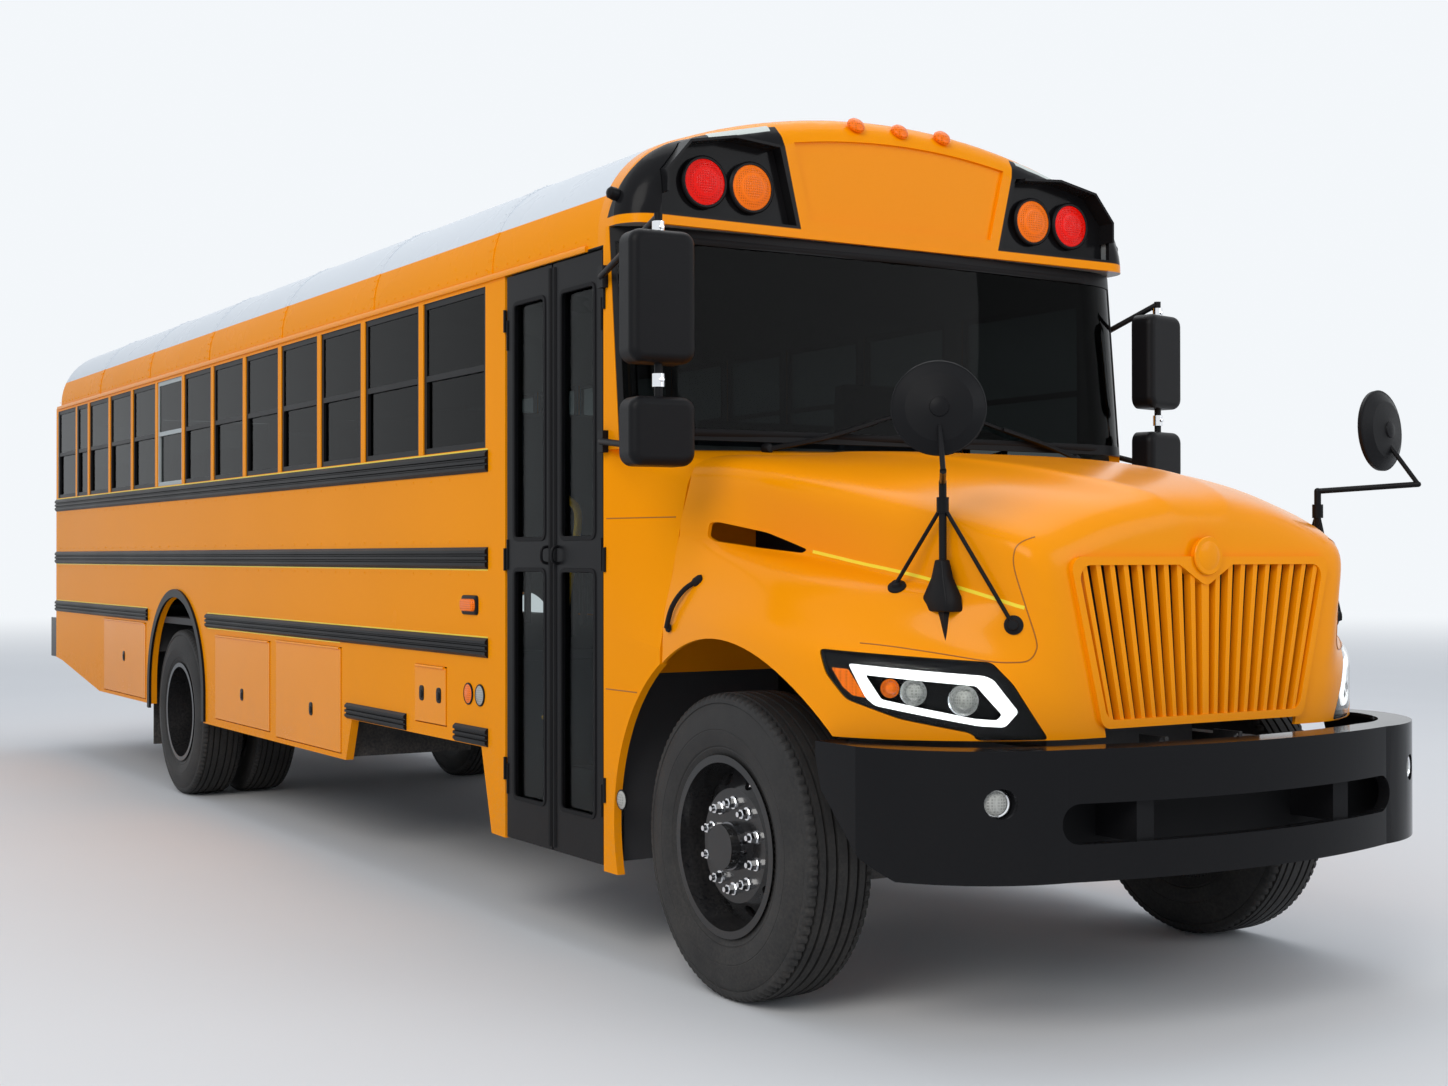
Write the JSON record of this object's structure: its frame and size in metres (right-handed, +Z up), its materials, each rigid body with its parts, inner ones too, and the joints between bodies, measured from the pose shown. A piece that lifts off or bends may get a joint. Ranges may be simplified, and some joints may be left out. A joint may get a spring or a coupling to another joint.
{
  "type": "conventional school bus",
  "caption": "Long-nosed yellow school bus with split-sash windows, a tilting hood, a two-leaf entrance door and twin rear wheels.",
  "frame": {"origin": "on the ground, at the middle of the bus's length and width", "axes": "+X forward, +Y to the driver's side (the bus's left), +Z up"},
  "size_m": [11.18, 2.9712, 3.208],
  "materials": {
    "body_paint": "gloss yellow-orange enamel",
    "roof_white": "gloss white enamel",
    "gloss_black": "gloss black paint",
    "black_trim": "satin black",
    "black_frame": "satin black powder coat",
    "glass": "tinted safety glass",
    "lamp_red": "ribbed red lens",
    "lamp_amber": "ribbed amber lens",
    "lamp_clear": "clear headlamp lens over a dark housing",
    "chassis_paint": "black chassis paint",
    "floor_covering": "ribbed black floor covering",
    "engine_iron": "dull iron",
    "spring_steel": "dark spring steel",
    "exhaust_steel": "heat-stained steel",
    "rubber": "matt black rubber",
    "seat_vinyl": "dark vinyl",
    "dash_plastic": "grained dark plastic",
    "sign_red": "red reflective face",
    "mirror_black": "satin black housings",
    "tyre": "black rubber",
    "wheel_black": "gloss black steel"
  },
  "bodies": {
    "chassis_and_body": {"roof_shell": "roof_white", "front_cap": "body_paint", "lamp_panels_front": "gloss_black", "side_wall_right": "body_paint", "side_wall_left": "body_paint", "rear_wall": "body_paint", "window_frames": "black_frame", "window_glass": "glass", "side_trim": "black_trim", "red_lamps": "lamp_red", "amber_lamps": "lamp_amber", "underfloor_boxes": "chassis_paint", "floor": "floor_covering", "floor_sills": "chassis_paint", "entrance_steps": "floor_covering", "cowl": "body_paint", "engine": "engine_iron", "frame_rails": "chassis_paint", "front_axle": "chassis_paint", "rear_axle": "chassis_paint", "leaf_springs": "spring_steel", "exhaust": "exhaust_steel", "fuel_tank": "chassis_paint", "mud_flaps": "rubber", "front_bumper": "gloss_black", "rear_bumper": "gloss_black", "tow_eyes": "chassis_paint", "seat_cushions": "seat_vinyl", "seat_backs": "seat_vinyl", "seat_stands": "chassis_paint", "dashboard": "dash_plastic", "side_mirrors": "mirror_black"},
    "hood": {"hood": "body_paint", "grille": "body_paint", "headlamps": "lamp_clear", "cross_mirrors": "mirror_black"},
    "entrance_leaf_front": {"entrance_door_front": "black_frame", "entrance_door_glass_front": "glass"},
    "entrance_leaf_rear": {"entrance_door_rear": "black_frame", "entrance_door_glass_rear": "glass"},
    "emergency_door": {"emergency_door": "body_paint", "emergency_door_glass": "glass"},
    "stop_arm": {"stop_arm": "sign_red"},
    "roof_hatch_front": {"roof_hatch_front": "roof_white"},
    "roof_hatch_rear": {"roof_hatch_rear": "roof_white"},
    "luggage_door_front": {"luggage_door_front": "body_paint"},
    "luggage_door_middle": {"luggage_door_middle": "body_paint"},
    "luggage_door_rear": {"luggage_door_rear": "body_paint"},
    "battery_door": {"battery_door": "body_paint"},
    "steering_wheel": {"steering_wheel": "dash_plastic"},
    "knuckle_left": {"steering_knuckle_left": "chassis_paint"},
    "wheel_front_left": {"tyre_front_left": "tyre", "wheel_front_left": "wheel_black"},
    "wheels_rear_left": {"tyres_rear_left": "tyre", "wheels_rear_left": "wheel_black"},
    "knuckle_right": {"steering_knuckle_right": "chassis_paint"},
    "wheel_front_right": {"tyre_front_right": "tyre", "wheel_front_right": "wheel_black"},
    "wheels_rear_right": {"tyres_rear_right": "tyre", "wheels_rear_right": "wheel_black"}
  },
  "joints": [
    {"name": "hood_tilt", "type": "hinge", "parent": "chassis_and_body", "child": "hood", "pos_m": [5.34, 0, 0.89], "axis": [0, 1, 0], "range_deg": [0, 60]},
    {"name": "entrance_leaf_front_swing", "type": "hinge", "parent": "chassis_and_body", "child": "entrance_leaf_front", "pos_m": [3.57, -1.219, 1.47], "axis": [0, 0, 1], "range_deg": [0, 88]},
    {"name": "entrance_leaf_rear_swing", "type": "hinge", "parent": "chassis_and_body", "child": "entrance_leaf_rear", "pos_m": [2.767, -1.219, 1.47], "axis": [0, 0, -1], "range_deg": [0, 88]},
    {"name": "emergency_door_swing", "type": "hinge", "parent": "chassis_and_body", "child": "emergency_door", "pos_m": [-5.408, -0.444, 1.8], "axis": [0, 0, 1], "range_deg": [0, 110]},
    {"name": "stop_arm_swing", "type": "hinge", "parent": "chassis_and_body", "child": "stop_arm", "pos_m": [2.34, 1.276, 1.66], "axis": [0, 0, -1], "range_deg": [0, 90]},
    {"name": "roof_hatch_front_lift", "type": "hinge", "parent": "chassis_and_body", "child": "roof_hatch_front", "pos_m": [1.27, 0, 3.182], "axis": [0, 1, 0], "range_deg": [0, 50]},
    {"name": "roof_hatch_rear_lift", "type": "hinge", "parent": "chassis_and_body", "child": "roof_hatch_rear", "pos_m": [-2.73, 0, 3.182], "axis": [0, 1, 0], "range_deg": [0, 50]},
    {"name": "luggage_door_front_swing", "type": "hinge", "parent": "chassis_and_body", "child": "luggage_door_front", "pos_m": [0.3775, -1.225, 1.023], "axis": [-1, 0, 0], "range_deg": [0, 95]},
    {"name": "luggage_door_middle_swing", "type": "hinge", "parent": "chassis_and_body", "child": "luggage_door_middle", "pos_m": [-0.7135, -1.225, 1.011], "axis": [-1, 0, 0], "range_deg": [0, 95]},
    {"name": "luggage_door_rear_swing", "type": "hinge", "parent": "chassis_and_body", "child": "luggage_door_rear", "pos_m": [-3.301, -1.225, 1.035], "axis": [-1, 0, 0], "range_deg": [0, 95]},
    {"name": "battery_door_swing", "type": "hinge", "parent": "chassis_and_body", "child": "battery_door", "pos_m": [1.9775, -1.225, 0.99], "axis": [-1, 0, 0], "range_deg": [0, 95]},
    {"name": "steer_left", "type": "hinge", "parent": "chassis_and_body", "child": "knuckle_left", "pos_m": [4.34, 0.88, 0.51], "axis": [0, 0, 1], "range_deg": [-38, 38]},
    {"name": "spin_front_left", "type": "hinge", "parent": "knuckle_left", "child": "wheel_front_left", "pos_m": [4.34, 1.05, 0.51], "axis": [0, 1, 0], "continuous": true},
    {"name": "spin_rear_left", "type": "hinge", "parent": "chassis_and_body", "child": "wheels_rear_left", "pos_m": [-2.04, 1.068, 0.51], "axis": [0, 1, 0], "continuous": true},
    {"name": "steer_right", "type": "hinge", "parent": "chassis_and_body", "child": "knuckle_right", "pos_m": [4.34, -0.88, 0.51], "axis": [0, 0, 1], "range_deg": [-38, 38]},
    {"name": "spin_front_right", "type": "hinge", "parent": "knuckle_right", "child": "wheel_front_right", "pos_m": [4.34, -1.05, 0.51], "axis": [0, 1, 0], "continuous": true},
    {"name": "spin_rear_right", "type": "hinge", "parent": "chassis_and_body", "child": "wheels_rear_right", "pos_m": [-2.04, -1.068, 0.51], "axis": [0, 1, 0], "continuous": true},
    {"name": "steering_wheel_turn", "type": "hinge", "parent": "chassis_and_body", "child": "steering_wheel", "pos_m": [3.33, 0.62, 1.85], "axis": [-0.5736, 0, 0.8192], "range_deg": [-700, 700]}
  ],
  "couplings": [
    {"joint": "entrance_leaf_rear_swing", "follows": "entrance_leaf_front_swing", "ratio": 1},
    {"joint": "steer_right", "follows": "steer_left", "ratio": 1},
    {"joint": "steering_wheel_turn", "follows": "steer_left", "ratio": 18}
  ]
}
